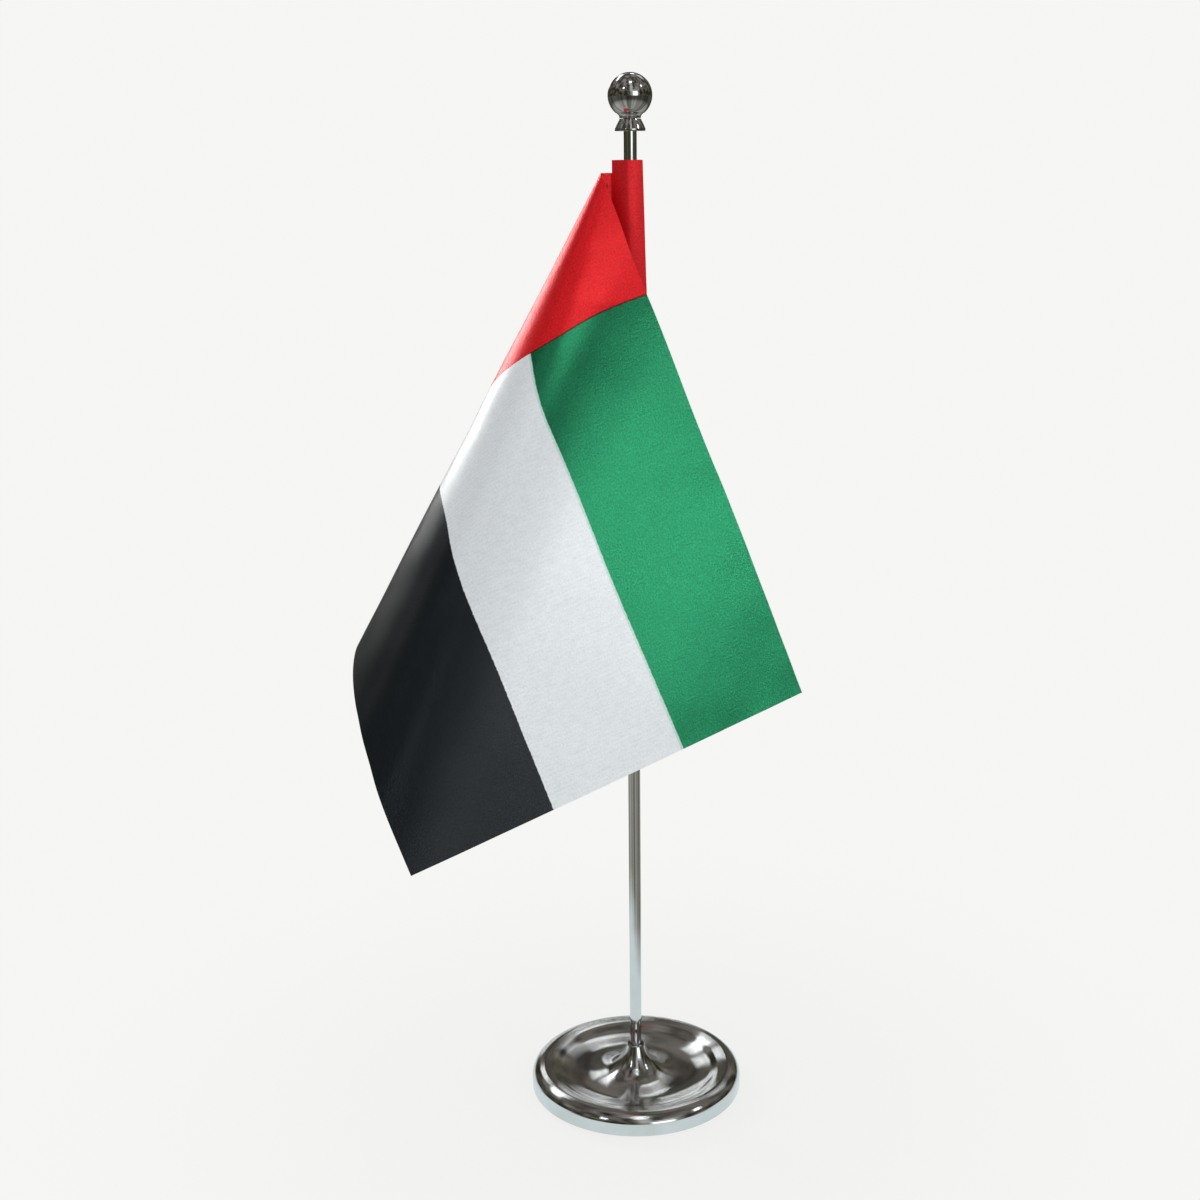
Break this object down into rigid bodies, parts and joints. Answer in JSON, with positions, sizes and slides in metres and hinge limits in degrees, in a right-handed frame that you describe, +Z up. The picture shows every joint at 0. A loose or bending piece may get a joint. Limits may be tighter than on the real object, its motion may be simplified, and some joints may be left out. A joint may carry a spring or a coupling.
{
  "type": "desk flag stand",
  "caption": "Chromed round base and thin pole with a ball finial, carrying a printed satin flag that turns and slides on the pole on its hoist sleeve.",
  "frame": {"origin": "centre of the base pad's underside, on the pole's axis", "axes": "+Z up along the pole, +X to the viewer's right, -Y towards the viewer, the side on which the folded flag hangs"},
  "size_m": [0.1509, 0.1511, 0.3755],
  "materials": {
    "pad_foam": "matt closed-cell foam",
    "plate_steel": "zinc-plated pressed steel",
    "weight_iron": "rough casting",
    "base_chrome": "polished chrome plate on spun steel",
    "boss_brass": "turned brass",
    "screw_steel": "zinc-plated",
    "washer_steel": "zinc-plated",
    "pole_chrome": "polished chrome plate on drawn steel",
    "ring_rubber": "matt black rubber",
    "ball_chrome": "polished chrome plate",
    "bush_brass": "turned brass",
    "collar_chrome": "polished chrome plate",
    "sleeve_satin": "red polyester satin",
    "flag_satin": "polyester satin printed in red, green, white and black bands",
    "needle_thread": "red polyester sewing thread",
    "bobbin_thread": "red polyester sewing thread"
  },
  "bodies": {
    "stand": {"base_pad": "pad_foam", "base_plate": "plate_steel", "base_weight": "weight_iron", "base_shell": "base_chrome", "hub_boss": "boss_brass", "boss_screw": "screw_steel", "screw_washer": "washer_steel", "pole": "pole_chrome"},
    "stop": {"stop_ring": "ring_rubber"},
    "flag": {"hoist_sleeve": "sleeve_satin", "flag_cloth": "flag_satin", "seam_needle_thread": "needle_thread", "seam_bobbin_thread": "bobbin_thread"},
    "collar": {"finial_collar": "collar_chrome"},
    "finial": {"finial_ball": "ball_chrome", "finial_bush": "bush_brass"}
  },
  "joints": [
    {"name": "ring_slide", "type": "slide", "parent": "stand", "child": "stop", "axis": [0, 0, 1], "range_m": [-0.12, 0.009]},
    {"name": "flag_swivel", "type": "hinge", "parent": "stop", "child": "flag", "pos_m": [0, 0, 0.191], "axis": [0, 0, 1], "continuous": true},
    {"name": "finial_lift", "type": "slide", "parent": "stand", "child": "collar", "axis": [0, 0, 1], "range_m": [0, 0.003]},
    {"name": "finial_turn", "type": "hinge", "parent": "collar", "child": "finial", "pos_m": [0, 0, 0.3605], "axis": [0, 0, 1], "range_deg": [0, 2160]}
  ],
  "couplings": [
    {"joint": "finial_lift", "follows": "finial_turn", "m_per_rad": 0.00007957}
  ]
}
